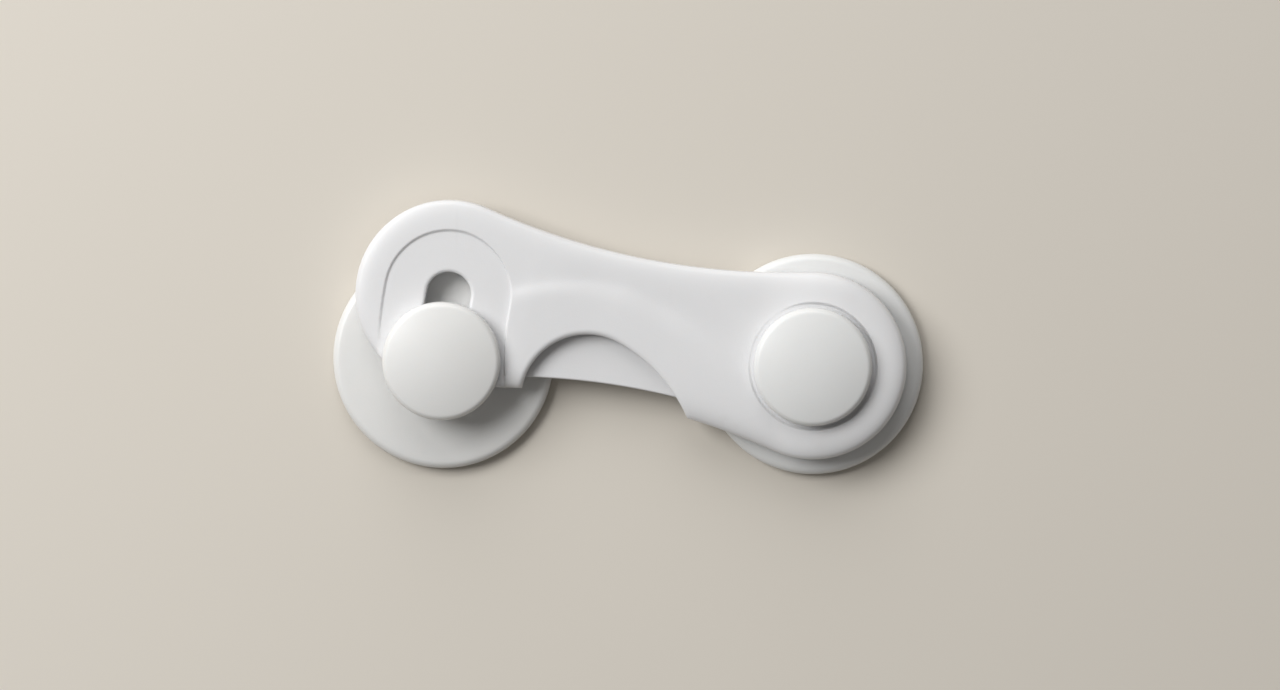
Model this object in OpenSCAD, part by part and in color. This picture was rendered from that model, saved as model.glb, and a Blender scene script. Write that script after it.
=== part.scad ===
// Cabinet safety lock: a slotted arm on a pivot base hooks round a stud on a strike base.
// Millimetres, +Z out of the doors, origin on the pivot axis in the plane of the doors.

/* [Arm] */
// Distance between the two knob centres
span = 75.4; // [74:0.2:82]
// Diameter of the round end at each end of the arm
arm_end_d = 38; // [37.6:0.1:39]
// Width of the arm at its waist
waist_w = 29.3; // [28.6:0.1:30]
// Angle that the arm is lifted above its seated position
lift_angle = 10.3; // [9:0.1:12]
// Rounding of the arm's upper edge
arm_edge_r = 1.3; // [0.8:0.1:1.5]
// Height of the ridge over the arm's face
ridge_h = 0.5; // [0.4:0.1:0.8]

/* [Slot] */
// Width of the slot that hooks round the stud
slot_w = 9; // [8.8:0.1:9.4]
// Width of the shallow recess round the slot
recess_w = 26; // [25.4:0.1:26.4]
// Depth of the shallow recesses under the knobs
recess_depth = 0.9; // [0.6:0.1:1]

/* [Bases and knobs] */
// Diameter of each base
base_d = 45; // [42:0.5:48]
// Thickness of each base
base_t = 2.8; // [2.6:0.1:3.2]
// Rounding of the top edge of each base
base_edge_r = 1.3; // [0.6:0.1:1.5]
// Diameter of each knob
knob_d = 24; // [22:0.5:24.4]
// Thickness of each knob at its middle
knob_t = 5.1; // [4.6:0.1:6]
// Diameter of the round posts that carry the knobs
post_d = 8; // [7.8:0.05:8.2]
// Thickness of each adhesive pad
pad_t = 0.8; // [0.5:0.1:1.2]
// Diameter of each adhesive pad
pad_d = 41; // [36:0.5:41.5]

/* [Release lever] */
// Thickness of the lever
lever_t = 1.9; // [1.6:0.1:2]
// Angle that the lever turns between released and pressed
press_angle = 8; // [7:0.1:8.4]
// Turns in the return spring
spring_turns = 7; // [5:1:8]

/* [Hidden] */
$fn = 96;

// Shared clearances and the one overrun for cuts
run_gap = 0.05;
fit_gap = 0.03;
over = 1;
double_share = 2;
half_share = 0.5;

// Heights from the doors outwards
base_top = pad_t + base_t;
seat_h = 0.35;
seat_r = 7;
arm_back = base_top + seat_h + run_gap;
back_t = 1.2;
cavity_floor = arm_back + back_t;
cavity_h = 2.4;
cavity_top = cavity_floor + cavity_h;
skin_t = 1.3;
recess_floor = cavity_top + skin_t;
face_z = recess_floor + recess_depth;
knob_gap = 0.4;
knob_z = recess_floor + knob_gap;
collar_r = 6.6;
collar_top = knob_z - run_gap;

// Arm outline
arm_end_r = arm_end_d * half_share;
waist = waist_w * half_share;
mid_x = -span * half_share;
side_r = (mid_x * mid_x + waist * waist - arm_end_r * arm_end_r)
  / (double_share * (arm_end_r - waist));
side_y = waist + side_r;
side_share = side_r / (side_r + arm_end_r);
waist_trim = 0.05;
waist_r = side_r + waist_trim;
touch_x = mid_x - mid_x * side_share;
touch_y = side_y - side_y * side_share;
lip_reach = 3;
lip_lap = 0.1;
head_x = -span;
wall_t = 1.6;
far_r = 120;

// Slot and recess
slot_half = slot_w * half_share;
recess_half = recess_w * half_share;
slot_reach = 22;
slot_wall_t = 1.5;

// Posts, knobs and their screws
post_r = post_d * half_share;
hub_bore_r = post_r + run_gap;
hub_wall_t = 3.6;
stem_r = 2.6;
stem_len = 3.9;
stem_z = knob_z - stem_len;
base_r = base_d * half_share;
knob_r = knob_d * half_share;
knob_top = knob_z + knob_t;
knob_edge_r = 1.4;
knob_foot = 0.4;
dome_rise = 1.5;
dome_r = (knob_r * knob_r + dome_rise * dome_rise) / (double_share * dome_rise);
dome_z = knob_top - dome_r;
shoulder_r = knob_r - knob_edge_r;
shoulder_z = dome_z + sqrt(pow(dome_r - knob_edge_r, double_share) - shoulder_r * shoulder_r);
shoulder_share = knob_t / (shoulder_z - dome_z);
ring_recess_r = knob_r + 1.3;
base_screw_r = 1.2;
base_screw_head_r = 3.1;
base_screw_head_h = 1.6;
base_screw_seat = pad_t + base_screw_head_h + 0.2;
base_screw_bite = 2.6;
base_screw_end = knob_z + base_screw_bite;
screw_drive_r = 1.2;
screw_drive_depth = 0.9;
screw_drive_sides = 6;

// Finger notch: two arcs that meet in a smooth line
notch_r = 13.5;
notch_share = 0.57825;
notch_x = -span * notch_share;
notch_y = -15.8;
notch_far_r = 31.6;
notch_far_shift = 5.6;
notch_far_x = notch_x - notch_far_shift;
notch_trim = 0.05;
notch_far_y = notch_y - notch_trim - sqrt(pow(notch_far_r - notch_r, double_share)
  - pow(notch_x - notch_far_x, double_share));
notch_back_y = -10.3;

// Ridge: a round-backed hood that turns about one centre
ridge_shift = 0.6;
ridge_x = notch_x + ridge_shift;
ridge_y = -37;
ridge_r = 44.6;
ridge_toe_r = 24;
ridge_crown = 0.7;
ridge_back = 3.2;
hood_t = 1;
hood_inset = 0.2;
dish_r = 40;
dish_depth = 0.8;
dish_x = -22;
dish_y = 6.6;
ring_r = arm_end_r - 0.4;

// Release lever
pin_inset = 4.8;
pin_reach = arm_end_r - pin_inset;
pin_angle = 66.8;
pin_x = -span + pin_reach * cos(pin_angle);
pin_y = pin_reach * sin(pin_angle);
pin_r = 1;
pin_bottom = arm_back + 0.3;
pin_top = recess_floor;
lever_z = cavity_floor + 0.15;
lever_boss_r = 2.7;
lever_edge_shift = 5.1;
lever_edge_x = mid_x + lever_edge_shift;
lever_edge_top = -11.6;
lever_edge_y = lever_edge_top - side_r;
tooth_root_r = span - slot_half - slot_wall_t - 0.4;
tooth_reach = 2.3;
tooth_tip_r = span - slot_half + tooth_reach;
tooth_toe_r = span - slot_half - 0.3;
tooth_catch = 3.35;
tooth_under = 0.25;
tooth_land = 4.7;
tooth_toe = 7.4;
tooth_heel = 7.8;
neck_points = [
  [head_x + 7.1, 15.2],
  [head_x + 3.5, 11.65],
  [head_x + 6.3, 5.4]
];
shank_points = [
  [notch_x - 19.8, -12.4],
  [notch_x - 12.4, -8],
  [notch_x - 14.4, 4]
];
tab_points = [
  [notch_x - 14.3, -20],
  [notch_x - 14.3, -8],
  [notch_x - 16.9, 4],
  [notch_x - 12.4, 6.5],
  [notch_x - 2.4, 4.4],
  [notch_x + 13.6, 4.4],
  [notch_x + 22.2, 2.4],
  [notch_x + 23, -3.8],
  [notch_x + 19.2, -11.8],
  [notch_x + 19.2, -20]
];

// Openings that the lever moves through
window_from = 2.2;
window_to = 9.4;
wall_window_w = 5.5;

// Return spring, from a seat on the lever to a rib in the front cover
spring_seat_shift = 5.6;
spring_seat_x = notch_x + spring_seat_shift;
spring_seat_y = 4.4;
spring_r = 0.85;
spring_wire_r = 0.15;
spring_len = 6.6;
spring_z = lever_z + lever_t * half_share;
spring_lean = atan2(pin_y - spring_seat_y, spring_seat_x - pin_x);
spring_steps = 16;
spring_sides = 8;
spring_seat_w = 3;
spring_seat_h = 0.6;
peg_r = 0.5;
peg_len = 1.6;
rib_t = 1.2;
rib_w = 5;
coil_from = spring_seat_h + spring_wire_r + run_gap;
coil_to = spring_len - spring_wire_r - run_gap;
coil_count = spring_turns * spring_steps;

// Cover screws: one list of places for bosses, pads and screws
screw_inset = 3.6;
screw_ring_r = arm_end_r - screw_inset;
waist_screw_shift = 6.4;
waist_screw_inset = 4.05;
head_screw_turn = 20;
upper_screw_turn = 43.4;
lower_screw_turn = 260;
screw_spots = [
  [head_x - screw_ring_r * cos(head_screw_turn), -screw_ring_r * sin(head_screw_turn)],
  [notch_x - waist_screw_shift, waist - waist_screw_inset],
  [screw_ring_r * cos(upper_screw_turn), screw_ring_r * sin(upper_screw_turn)],
  [screw_ring_r * cos(lower_screw_turn), screw_ring_r * sin(lower_screw_turn)]
];
boss_r = 2.1;
cover_pad_r = 2.3;
cover_pad_gap = 0.1;
cover_screw_r = 0.75;
cover_screw_head_r = 1.8;
cover_screw_head_h = 0.8;
cover_screw_z = arm_back + 0.15;
cover_pad_top = cavity_floor + 0.7;
cover_screw_end = face_z - 1.4;

// Plan shapes of the arm, drawn in its seated position

module side_circles(inset) {
  translate([mid_x, side_y]) circle(r = waist_r + inset, $fn = 240);
  translate([mid_x, -side_y]) circle(r = waist_r + inset, $fn = 240);
}

module waist_panel() {
  polygon([
    [0, 0], [touch_x, touch_y], [-span - touch_x, touch_y],
    [-span, 0], [-span - touch_x, -touch_y], [touch_x, -touch_y]
  ]);
}

module bone(inset) {
  circle(r = arm_end_r - inset);
  translate([-span, 0]) circle(r = arm_end_r - inset);
  difference() {
    waist_panel();
    side_circles(inset);
  }
}

module sector(from, to) {
  polygon([
    [0, 0],
    [-far_r * cos(from), -far_r * sin(from)],
    [-far_r * cos(to), -far_r * sin(to)]
  ]);
}

module arc_band(inner, outer, from, to) {
  intersection() {
    difference() {
      circle(r = outer, $fn = 240);
      circle(r = inner, $fn = 240);
    }
    sector(from, to);
  }
}

module hook_slot(half_w) {
  translate([-span, 0]) circle(r = half_w);
  arc_band(span - half_w, span + half_w, 0, slot_reach);
}

module notch() {
  translate([notch_x, notch_y]) circle(r = notch_r);
  translate([notch_x - notch_r, notch_y - notch_r]) square([double_share * notch_r, notch_r]);
  intersection() {
    translate([notch_far_x, notch_far_y]) circle(r = notch_far_r);
    polygon([
      [notch_far_x, notch_far_y],
      [notch_far_x + double_share * (notch_x - notch_far_x),
        notch_far_y + double_share * (notch_y - notch_far_y)],
      [0, notch_far_y + double_share * (notch_y - notch_far_y)],
      [0, notch_far_y]
    ]);
  }
}

// Cuts that round the arm's upper edge: one round each end, one along each side

module end_lip() {
  difference() {
    rotate_extrude() difference() {
      translate([arm_end_r - arm_edge_r, face_z - arm_edge_r])
        square([arm_edge_r + over, arm_edge_r + over]);
      translate([arm_end_r - arm_edge_r, face_z - arm_edge_r]) circle(r = arm_edge_r);
    }
    linear_extrude(far_r)
      polygon([
        [-lip_lap, 0],
        [lip_reach * touch_x - lip_lap, lip_reach * touch_y],
        [lip_reach * touch_x - lip_lap, -lip_reach * touch_y]
      ]);
  }
}

module side_lip() {
  intersection() {
    translate([mid_x, side_y, 0]) rotate_extrude($fn = 240) difference() {
      translate([waist_r - over, face_z - arm_edge_r]) square([arm_edge_r + over, arm_edge_r + over]);
      translate([waist_r + arm_edge_r, face_z - arm_edge_r]) circle(r = arm_edge_r);
    }
    linear_extrude(far_r)
      polygon([
        [0, 0], lip_reach * [touch_x, touch_y],
        [-span - lip_reach * touch_x, lip_reach * touch_y], [-span, 0]
      ]);
  }
}

module edge_lips() {
  end_lip();
  translate([-span, 0, 0]) mirror([1, 0, 0]) end_lip();
  side_lip();
  mirror([0, 1, 0]) side_lip();
}

// The ridge over the finger notch, kept to the face between the two recesses

module hood() {
  intersection() {
    translate([ridge_x, ridge_y, 0]) rotate_extrude($fn = 240)
      polygon([
        [ridge_toe_r, face_z - hood_t],
        [ridge_toe_r, face_z],
        [ridge_r - ridge_crown, face_z + ridge_h],
        [ridge_r + ridge_crown, face_z + ridge_h],
        [ridge_r + ridge_back, face_z],
        [ridge_r + ridge_back, face_z - hood_t]
      ]);
    translate([0, 0, face_z - hood_t]) linear_extrude(hood_t + ridge_h + over)
      difference() {
        bone(arm_edge_r + hood_inset);
        circle(r = ring_recess_r - hood_inset);
        translate([-span - far_r, -far_r]) square([far_r, double_share * far_r]);
      }
  }
}

module dish() {
  difference() {
    translate([dish_x, dish_y, face_z - dish_depth + dish_r]) rotate([90, 0, 0])
      sphere(r = dish_r, $fn = 96);
    translate([0, 0, recess_floor - over]) cylinder(r = ring_r, h = dish_depth + far_r);
  }
}

// Walls and bosses that hang into the arm's cavity

module cavity_posts() {
  circle(r = hub_bore_r + hub_wall_t);
  translate([-span, 0]) circle(r = slot_half + slot_wall_t);
  arc_band(span - slot_half - slot_wall_t, span + slot_half + slot_wall_t, 0, slot_reach);
  for (spot = screw_spots) translate(spot) circle(r = boss_r);
}

module spring_rib() {
  translate([spring_seat_x, spring_seat_y]) rotate(-spring_lean)
    translate([-rib_w * half_share, spring_len + fit_gap]) square([rib_w, rib_t]);
}

module cavity() {
  translate([0, 0, cavity_floor - over]) linear_extrude(cavity_h + over)
    difference() {
      bone(wall_t);
      cavity_posts();
      spring_rib();
    }
}

// The lever sweeps through the slot's wall and the wall beside the notch

module tooth_window() {
  translate([0, 0, cavity_floor - over]) linear_extrude(cavity_h + over) {
    arc_band(span - slot_half - slot_wall_t - over, span, window_from, window_to);
    translate([notch_x - notch_r - wall_window_w, notch_y - notch_r])
      square([wall_window_w + over, notch_r + double_share * over]);
  }
}

module arm_frame() {
  rotate([0, 0, -lift_angle]) children();
}

module front_cover() {
  difference() {
    union() {
      difference() {
        union() {
          translate([0, 0, cavity_floor]) linear_extrude(face_z - cavity_floor) bone(0);
          hood();
        }
        dish();
        cavity();
        translate([0, 0, recess_floor]) linear_extrude(far_r) hook_slot(recess_half);
        translate([0, 0, recess_floor]) cylinder(r = ring_recess_r, h = far_r);
      }
      translate([0, 0, recess_floor - skin_t]) cylinder(r = collar_r, h = collar_top - cavity_top);
    }
    translate([0, 0, arm_back]) linear_extrude(far_r) hook_slot(slot_half);
    translate([0, 0, arm_back]) linear_extrude(far_r) notch();
    translate([0, 0, arm_back]) cylinder(r = hub_bore_r, h = far_r);
    tooth_window();
    translate([pin_x, pin_y, arm_back]) cylinder(r = pin_r + fit_gap, h = pin_top + fit_gap - arm_back);
    for (spot = screw_spots) translate([spot[0], spot[1], 0]) {
      translate([0, 0, arm_back])
        cylinder(r = cover_screw_r + fit_gap, h = cover_screw_end + fit_gap - arm_back);
      translate([0, 0, arm_back])
        cylinder(r = cover_pad_r + cover_pad_gap, h = cover_pad_top + run_gap - arm_back);
    }
    edge_lips();
  }
}

module arm_front_cover() {
  color("whitesmoke") arm_frame() front_cover();
}

module back_cover() {
  difference() {
    union() {
      translate([0, 0, arm_back]) linear_extrude(back_t) bone(0);
      for (spot = screw_spots) translate([spot[0], spot[1], arm_back])
        cylinder(r = cover_pad_r, h = cover_pad_top - arm_back);
    }
    translate([0, 0, arm_back - over]) linear_extrude(far_r) hook_slot(slot_half);
    translate([0, 0, arm_back - over]) linear_extrude(back_t + double_share * over)
      intersection() {
        notch();
        translate([-far_r, notch_back_y - far_r]) square([far_r, far_r]);
      }
    translate([0, 0, arm_back - over]) cylinder(r = hub_bore_r, h = far_r);
    translate([pin_x, pin_y, pin_bottom - fit_gap]) cylinder(r = pin_r + fit_gap, h = far_r);
    for (spot = screw_spots) translate([spot[0], spot[1], arm_back - over]) {
      cylinder(r = cover_screw_head_r + fit_gap,
        h = over + cover_screw_z - arm_back + cover_screw_head_h);
      cylinder(r = cover_screw_r + fit_gap, h = far_r);
    }
  }
}

module arm_back_cover() {
  color("gainsboro") arm_frame() back_cover();
}

// Release lever: the tooth side is drawn released, the finger tab pressed as in this pose

function rim_point(r, a) = [-r * cos(a), -r * sin(a)];

module tooth_side() {
  translate([pin_x, pin_y]) rotate(press_angle) translate([-pin_x, -pin_y])
    polygon(concat(
      neck_points,
      [
        rim_point(tooth_root_r, 0),
        rim_point(tooth_root_r, tooth_catch + tooth_under),
        rim_point(tooth_tip_r, tooth_catch),
        rim_point(tooth_tip_r, tooth_land),
        rim_point(tooth_toe_r, tooth_toe),
        rim_point(tooth_root_r, tooth_heel)
      ],
      shank_points
    ));
}

module finger_tab() {
  difference() {
    polygon(tab_points);
    translate([lever_edge_x, lever_edge_y]) circle(r = side_r, $fn = 240);
  }
}

module spring_place() {
  translate([spring_seat_x, spring_seat_y, spring_z]) rotate([0, 0, -spring_lean]) children();
}

module lever() {
  difference() {
    union() {
      translate([0, 0, lever_z]) linear_extrude(lever_t) {
        translate([pin_x, pin_y]) circle(r = lever_boss_r);
        tooth_side();
        finger_tab();
        translate([spring_seat_x, spring_seat_y]) rotate(-spring_lean)
          translate([-spring_seat_w * half_share, -spring_seat_h])
            square([spring_seat_w, double_share * spring_seat_h]);
      }
      spring_place() rotate([-90, 0, 0]) cylinder(r = peg_r, h = spring_seat_h + peg_len);
    }
    translate([pin_x, pin_y, lever_z - over]) cylinder(r = pin_r + run_gap, h = lever_t + double_share * over);
  }
}

module release_lever() {
  color("white") arm_frame() lever();
}

module lever_pin() {
  color("silver") arm_frame()
    translate([pin_x, pin_y, pin_bottom]) cylinder(r = pin_r, h = pin_top - pin_bottom);
}

// Return spring: one unbroken coil, squeezed between the lever and the rib

function coil_point(i, j) =
  let (
    turn = 360 * i / spring_steps,
    side = 360 * j / spring_sides,
    out = spring_r + spring_wire_r * cos(side)
  )
  [
    out * cos(turn),
    out * sin(turn),
    coil_from + (coil_to - coil_from) * i / coil_count + spring_wire_r * sin(side)
  ];

module coil() {
  polyhedron(
    points = [for (i = [0:coil_count]) for (j = [0:spring_sides - 1]) coil_point(i, j)],
    faces = concat(
      [[for (j = [0:spring_sides - 1]) j]],
      [[for (j = [spring_sides - 1:-1:0]) coil_count * spring_sides + j]],
      [
        for (i = [0:coil_count - 1]) for (j = [0:spring_sides - 1])
          let (k = (j + 1) % spring_sides)
          [
            i * spring_sides + k,
            i * spring_sides + j,
            (i + 1) * spring_sides + j
          ]
      ],
      [
        for (i = [0:coil_count - 1]) for (j = [0:spring_sides - 1])
          let (k = (j + 1) % spring_sides)
          [
            i * spring_sides + k,
            (i + 1) * spring_sides + j,
            (i + 1) * spring_sides + k
          ]
      ]
    )
  );
}

module return_spring() {
  color("lightsteelblue") arm_frame() spring_place() rotate([-90, 0, 0]) coil();
}

module cover_screws() {
  color("slategray") arm_frame()
    for (spot = screw_spots) translate([spot[0], spot[1], 0]) difference() {
      union() {
        translate([0, 0, cover_screw_z]) cylinder(r = cover_screw_head_r, h = cover_screw_head_h);
        translate([0, 0, cover_screw_z]) cylinder(r = cover_screw_r, h = cover_screw_end - cover_screw_z);
      }
      translate([0, 0, cover_screw_z - over])
        cylinder(r = cover_screw_r, h = over + cover_screw_head_h * half_share, $fn = screw_drive_sides);
    }
}

// Bases, knobs, screws and pads: one set for each door

module base(post_shape) {
  difference() {
    union() {
      rotate_extrude() {
        translate([0, pad_t]) square([base_r, base_t - base_edge_r]);
        translate([0, pad_t]) square([base_r - base_edge_r, base_t]);
        translate([base_r - base_edge_r, base_top - base_edge_r]) circle(r = base_edge_r);
      }
      translate([0, 0, base_top - over]) cylinder(r = seat_r, h = seat_h + over);
      translate([0, 0, base_top - over]) cylinder(r = post_r, h = knob_z - base_top + over);
      if (post_shape == "flat")
        translate([-post_r, -post_r, base_top - over])
          cube([double_share * post_r, post_r, knob_z - base_top + over]);
    }
    translate([0, 0, pad_t - over]) cylinder(r = base_screw_head_r + run_gap, h = base_screw_seat - pad_t + over);
    translate([0, 0, pad_t]) cylinder(r = base_screw_r + run_gap, h = knob_z);
    translate([0, 0, stem_z - run_gap]) cylinder(r = stem_r + fit_gap, h = knob_z);
  }
}

module knob() {
  difference() {
    union() {
      rotate_extrude() {
        polygon([
          [0, knob_z], [knob_r - knob_foot, knob_z], [knob_r, knob_z + knob_foot],
          [knob_r, shoulder_z], [0, shoulder_z]
        ]);
        translate([shoulder_r, shoulder_z]) circle(r = knob_edge_r);
        intersection() {
          translate([0, dome_z]) circle(r = dome_r, $fn = 240);
          polygon([
            [0, shoulder_z], [shoulder_r, shoulder_z],
            [shoulder_r * (1 + shoulder_share), shoulder_z + shoulder_share * (shoulder_z - dome_z)],
            [0, shoulder_z + shoulder_share * (shoulder_z - dome_z)]
          ]);
        }
      }
      translate([0, 0, stem_z]) cylinder(r = stem_r, h = stem_len + knob_foot);
    }
    translate([0, 0, stem_z - over]) cylinder(r = base_screw_r + fit_gap, h = base_screw_end + fit_gap - stem_z + over);
  }
}

module base_screw() {
  difference() {
    union() {
      translate([0, 0, base_screw_seat - base_screw_head_h])
        cylinder(r = base_screw_head_r, h = base_screw_head_h);
      translate([0, 0, base_screw_seat - base_screw_head_h])
        cylinder(r = base_screw_r, h = base_screw_end - base_screw_seat + base_screw_head_h);
    }
    translate([0, 0, base_screw_seat - base_screw_head_h - over])
      cylinder(r = screw_drive_r, h = screw_drive_depth + over, $fn = screw_drive_sides);
  }
}

module pad() {
  cylinder(r = pad_d * half_share, h = pad_t);
}

module strike_adhesive_pad() {
  color("lightgray") translate([-span, 0, 0]) pad();
}

module strike_base() {
  color("ivory") translate([-span, 0, 0]) base("flat");
}

module strike_screw() {
  color("slategray") translate([-span, 0, 0]) base_screw();
}

module strike_knob() {
  color("ivory") translate([-span, 0, 0]) knob();
}

module pivot_adhesive_pad() {
  color("lightgray") pad();
}

module pivot_base() {
  color("white") base("round");
}

module pivot_screw() {
  color("slategray") base_screw();
}

module pivot_cap() {
  color("white") knob();
}

strike_adhesive_pad();
strike_base();
strike_screw();
strike_knob();
pivot_adhesive_pad();
pivot_base();
pivot_screw();
pivot_cap();
arm_back_cover();
arm_front_cover();
release_lever();
lever_pin();
return_spring();
cover_screws();
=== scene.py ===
import math

import bmesh
import bpy
import numpy as np
from mathutils import Matrix, Vector
from mathutils.geometry import delaunay_2d_cdt


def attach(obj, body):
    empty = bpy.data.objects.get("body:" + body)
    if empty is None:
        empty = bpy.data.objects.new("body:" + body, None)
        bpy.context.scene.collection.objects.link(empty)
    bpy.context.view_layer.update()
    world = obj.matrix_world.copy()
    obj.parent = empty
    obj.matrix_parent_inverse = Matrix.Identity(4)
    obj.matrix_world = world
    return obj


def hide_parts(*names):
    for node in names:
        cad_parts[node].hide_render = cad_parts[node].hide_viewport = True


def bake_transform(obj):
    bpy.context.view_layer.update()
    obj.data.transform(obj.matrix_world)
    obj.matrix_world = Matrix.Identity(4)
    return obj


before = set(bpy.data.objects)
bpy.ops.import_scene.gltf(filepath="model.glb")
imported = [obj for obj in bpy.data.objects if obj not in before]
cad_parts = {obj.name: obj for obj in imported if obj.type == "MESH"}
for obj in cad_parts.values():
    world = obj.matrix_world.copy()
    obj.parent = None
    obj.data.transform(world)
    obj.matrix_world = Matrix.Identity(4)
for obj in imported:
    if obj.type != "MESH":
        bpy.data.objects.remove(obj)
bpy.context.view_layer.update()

# Sizes in millimetres, in the CAD frame; pieces are scaled to metres when made
MM = 0.001

# Outline of the arm: two round ends joined by two long hollow arcs
SPAN = 75.4
LIFT = math.radians(10.3)
END_R = 19.0
WAIST = 14.65
MID_X = -SPAN / 2
SIDE_R = (MID_X ** 2 + WAIST ** 2 - END_R ** 2) / (2 * (END_R - WAIST))
SIDE_Y = WAIST + SIDE_R
SIDE_SHARE = SIDE_R / (SIDE_R + END_R)
TOUCH_X = MID_X * (1 - SIDE_SHARE)
TOUCH_Y = SIDE_Y * (1 - SIDE_SHARE)
TOUCH_TURN = math.atan2(TOUCH_Y, TOUCH_X)
SIDE_TURN = math.atan2(TOUCH_X - MID_X, SIDE_Y - TOUCH_Y)

# Slot, recess, bore, collar, ring, finger notch and crest of the arm, in plan
HEAD = (-SPAN, 0.0)
SLOT_HALF = 4.5
SLOT_REACH = math.radians(22)
RECESS_HALF = 13.0
BORE_R = 4.05
COLLAR_R = 6.6
RING_R = 12.9
RING_REGION_R = 30.0
NOTCH_R = 13.5
NOTCH = (-43.6, -15.8)
NOTCH_FAR_R = 31.6
NOTCH_FAR_X = -49.2
NOTCH_FAR = (NOTCH_FAR_X, NOTCH[1] - math.sqrt((NOTCH_FAR_R - NOTCH_R) ** 2 - (NOTCH[0] - NOTCH_FAR_X) ** 2))
BACK_NOTCH_Y = -10.3
RIDGE = (-43.0, -37.0)
RIDGE_R = 44.6

# Heights in the arm, and its walls and rounded lips
ARM_BACK = 4.0
CAVITY_FLOOR = 5.2
CAVITY_TOP = 7.6
LEAST_SKIN = 0.14
SKIN_SOFTNESS = 0.12
RECESS_FLOOR = 9.12
COLLAR_TOP = 9.25
FACE_Z = 9.8
FACE_RISE = 0.35
WALL = 1.6
SLOT_WALL = 1.5
BORE_WALL = 3.6
COLLAR_WALL = 0.2
RECESS_WALL = 0.9
RING_WALL = 0.8
SLOT_LIP_R = 0.8
NOTCH_LIP_R = 1.1
BORE_LIP_R = 0.2
FACE_LIP_R = 0.9

# Pads, bases with their posts, and the knob and the cap with their stems
PAD_T = 0.8
PAD_R = 20.5
BASE_R = 22.5
BASE_EDGE_R = 1.6
BASE_TOP = 3.6
CROWN = 0.32
CROWN_START = 9.5
SEAT_R = 7.0
SEAT_TOP = 3.95
POST_R = 4.0
POST_MIDDLE = 7.0
SOCKET_R = 2.63
SOCKET_FLOOR = 5.35
SCREW_HOLE_R = 1.25
HEAD_POCKET_R = 3.15
HEAD_POCKET_TOP = 2.6
KNOB_R = 12.0
KNOB_Z = 9.3
KNOB_TOP = 14.4
KNOB_EDGE_R = 1.4
DOME_RISE = 1.7
STEM_R = 2.6
STEM_END = 5.4
STEM_MIDDLE = 7.4
STEM_BORE_R = 1.23
STEM_BORE_TOP = 11.93

# Lever and its pin, and the windows in the front cover for its tooth and tab
LEVER_Z = 5.35
LEVER_TOP = 7.25
LEVER_BORE_R = 1.05
LEVER_BOSS_R = 2.7
PIN_REACH = 14.2
PIN_TURN = math.radians(66.8)
PIN = (-SPAN + PIN_REACH * math.cos(PIN_TURN), PIN_REACH * math.sin(PIN_TURN))
PIN_R = 1.0
PIN_CHAMFER = 0.15
PIN_ENDS = (4.3, 8.9)
PIN_HOLE_R = 1.03
PIN_HOLE_LOW = 4.27
PIN_HOLE_TOP = 8.93
TOOTH_WINDOW_TURN = (2.2, 9.4)
TOOTH_WINDOW_DEPTH = 2.5
TAB_WINDOW = (-62.6, -29.3, -56.1, -13.8)

# Places of the cover screws, with the front cover's bosses and the back cover's posts and pockets
SCREW_SPOTS = [(-89.871, -5.267), (-50.0, 10.6), (11.189, 10.581), (-2.674, -15.166)]
SCREW_BORE_R = 0.78
SCREW_BORE_TOP = 8.43
SCREW_BOSS_R = 2.1
SCREW_WELL_R = 2.4
SCREW_WELL_TOP = 5.95
SCREW_POST_R = 2.3
SCREW_POST_TOP = 5.9
SCREW_POCKET_R = 1.83
SCREW_POCKET_TOP = 4.95

# Spring, its peg on the lever and the rib in the front cover that it pushes against
SPRING_SEAT = (-38.0, 4.4)
SPRING_LEAN = math.atan2(PIN[1] - SPRING_SEAT[1], SPRING_SEAT[0] - PIN[0])
SPRING_Z = 6.3
SPRING_R = 0.85
SPRING_ENDS = (0.8, 6.4)
SPRING_END_PITCH = 0.34
WIRE_R = 0.15
PEG_R = 0.5
RIB_HALF = 2.5
RIB_NEAR = 6.63
RIB_FAR = 7.83

# Distances from an edge or a wall at which the face has a row of points
EDGE_ROWS = (0.02, 0.08, 0.18, 0.32, 0.5, 0.72, 0.98, 1.28, 1.62, 2.0, 2.45, 3.0, 3.6)
WALL_ROWS = (-0.6, -0.46, -0.4, -0.33, -0.26, -0.19, -0.12, -0.06, 0.0, 0.06, 0.12, 0.19, 0.28, 0.4, 0.6)
LIP_ROWS = (0.02, 0.07, 0.15, 0.26, 0.4, 0.56, 0.74, 0.95, 1.2)
NOTCH_ROWS = (*LIP_ROWS, 1.5)
COLLAR_ROWS = (0.05, -0.02, -0.1, -0.18, -0.25)
RIDGE_ROWS = (-2.4, -1.8, -1.2, -0.7, -0.3, 0.05, 0.4, 0.8, 1.3, 1.9, 2.6, 3.4, 4.3, 5.3)


# Plan shapes of the arm, in its seated position

def smooth(t):
    """Smooth step between 0 and 1."""
    t = np.clip(t, 0.0, 1.0)
    return t * t * (3 - 2 * t)


def soft(t):
    """Smooth step that is flat for longer at both ends."""
    t = np.clip(t, 0.0, 1.0)
    return t * t * t * (t * (6 * t - 15) + 10)


def ramp(t, start, length):
    """Smooth step from 0 at start to 1 at start plus length."""
    return smooth((t - start) / length)


def rounding(d, r):
    """How far a rounded edge of radius r lies below the face, d inside the edge."""
    t = np.clip(1 - d / r, 0.0, 1.0)
    return r * (1 - np.sqrt(np.maximum(1 - t * t, 0.0)))


def outside_fall(d):
    """Steep fall beyond an edge, so that no shelf is left outside it."""
    return 60 * np.minimum(d + 1e-4, 0)


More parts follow.
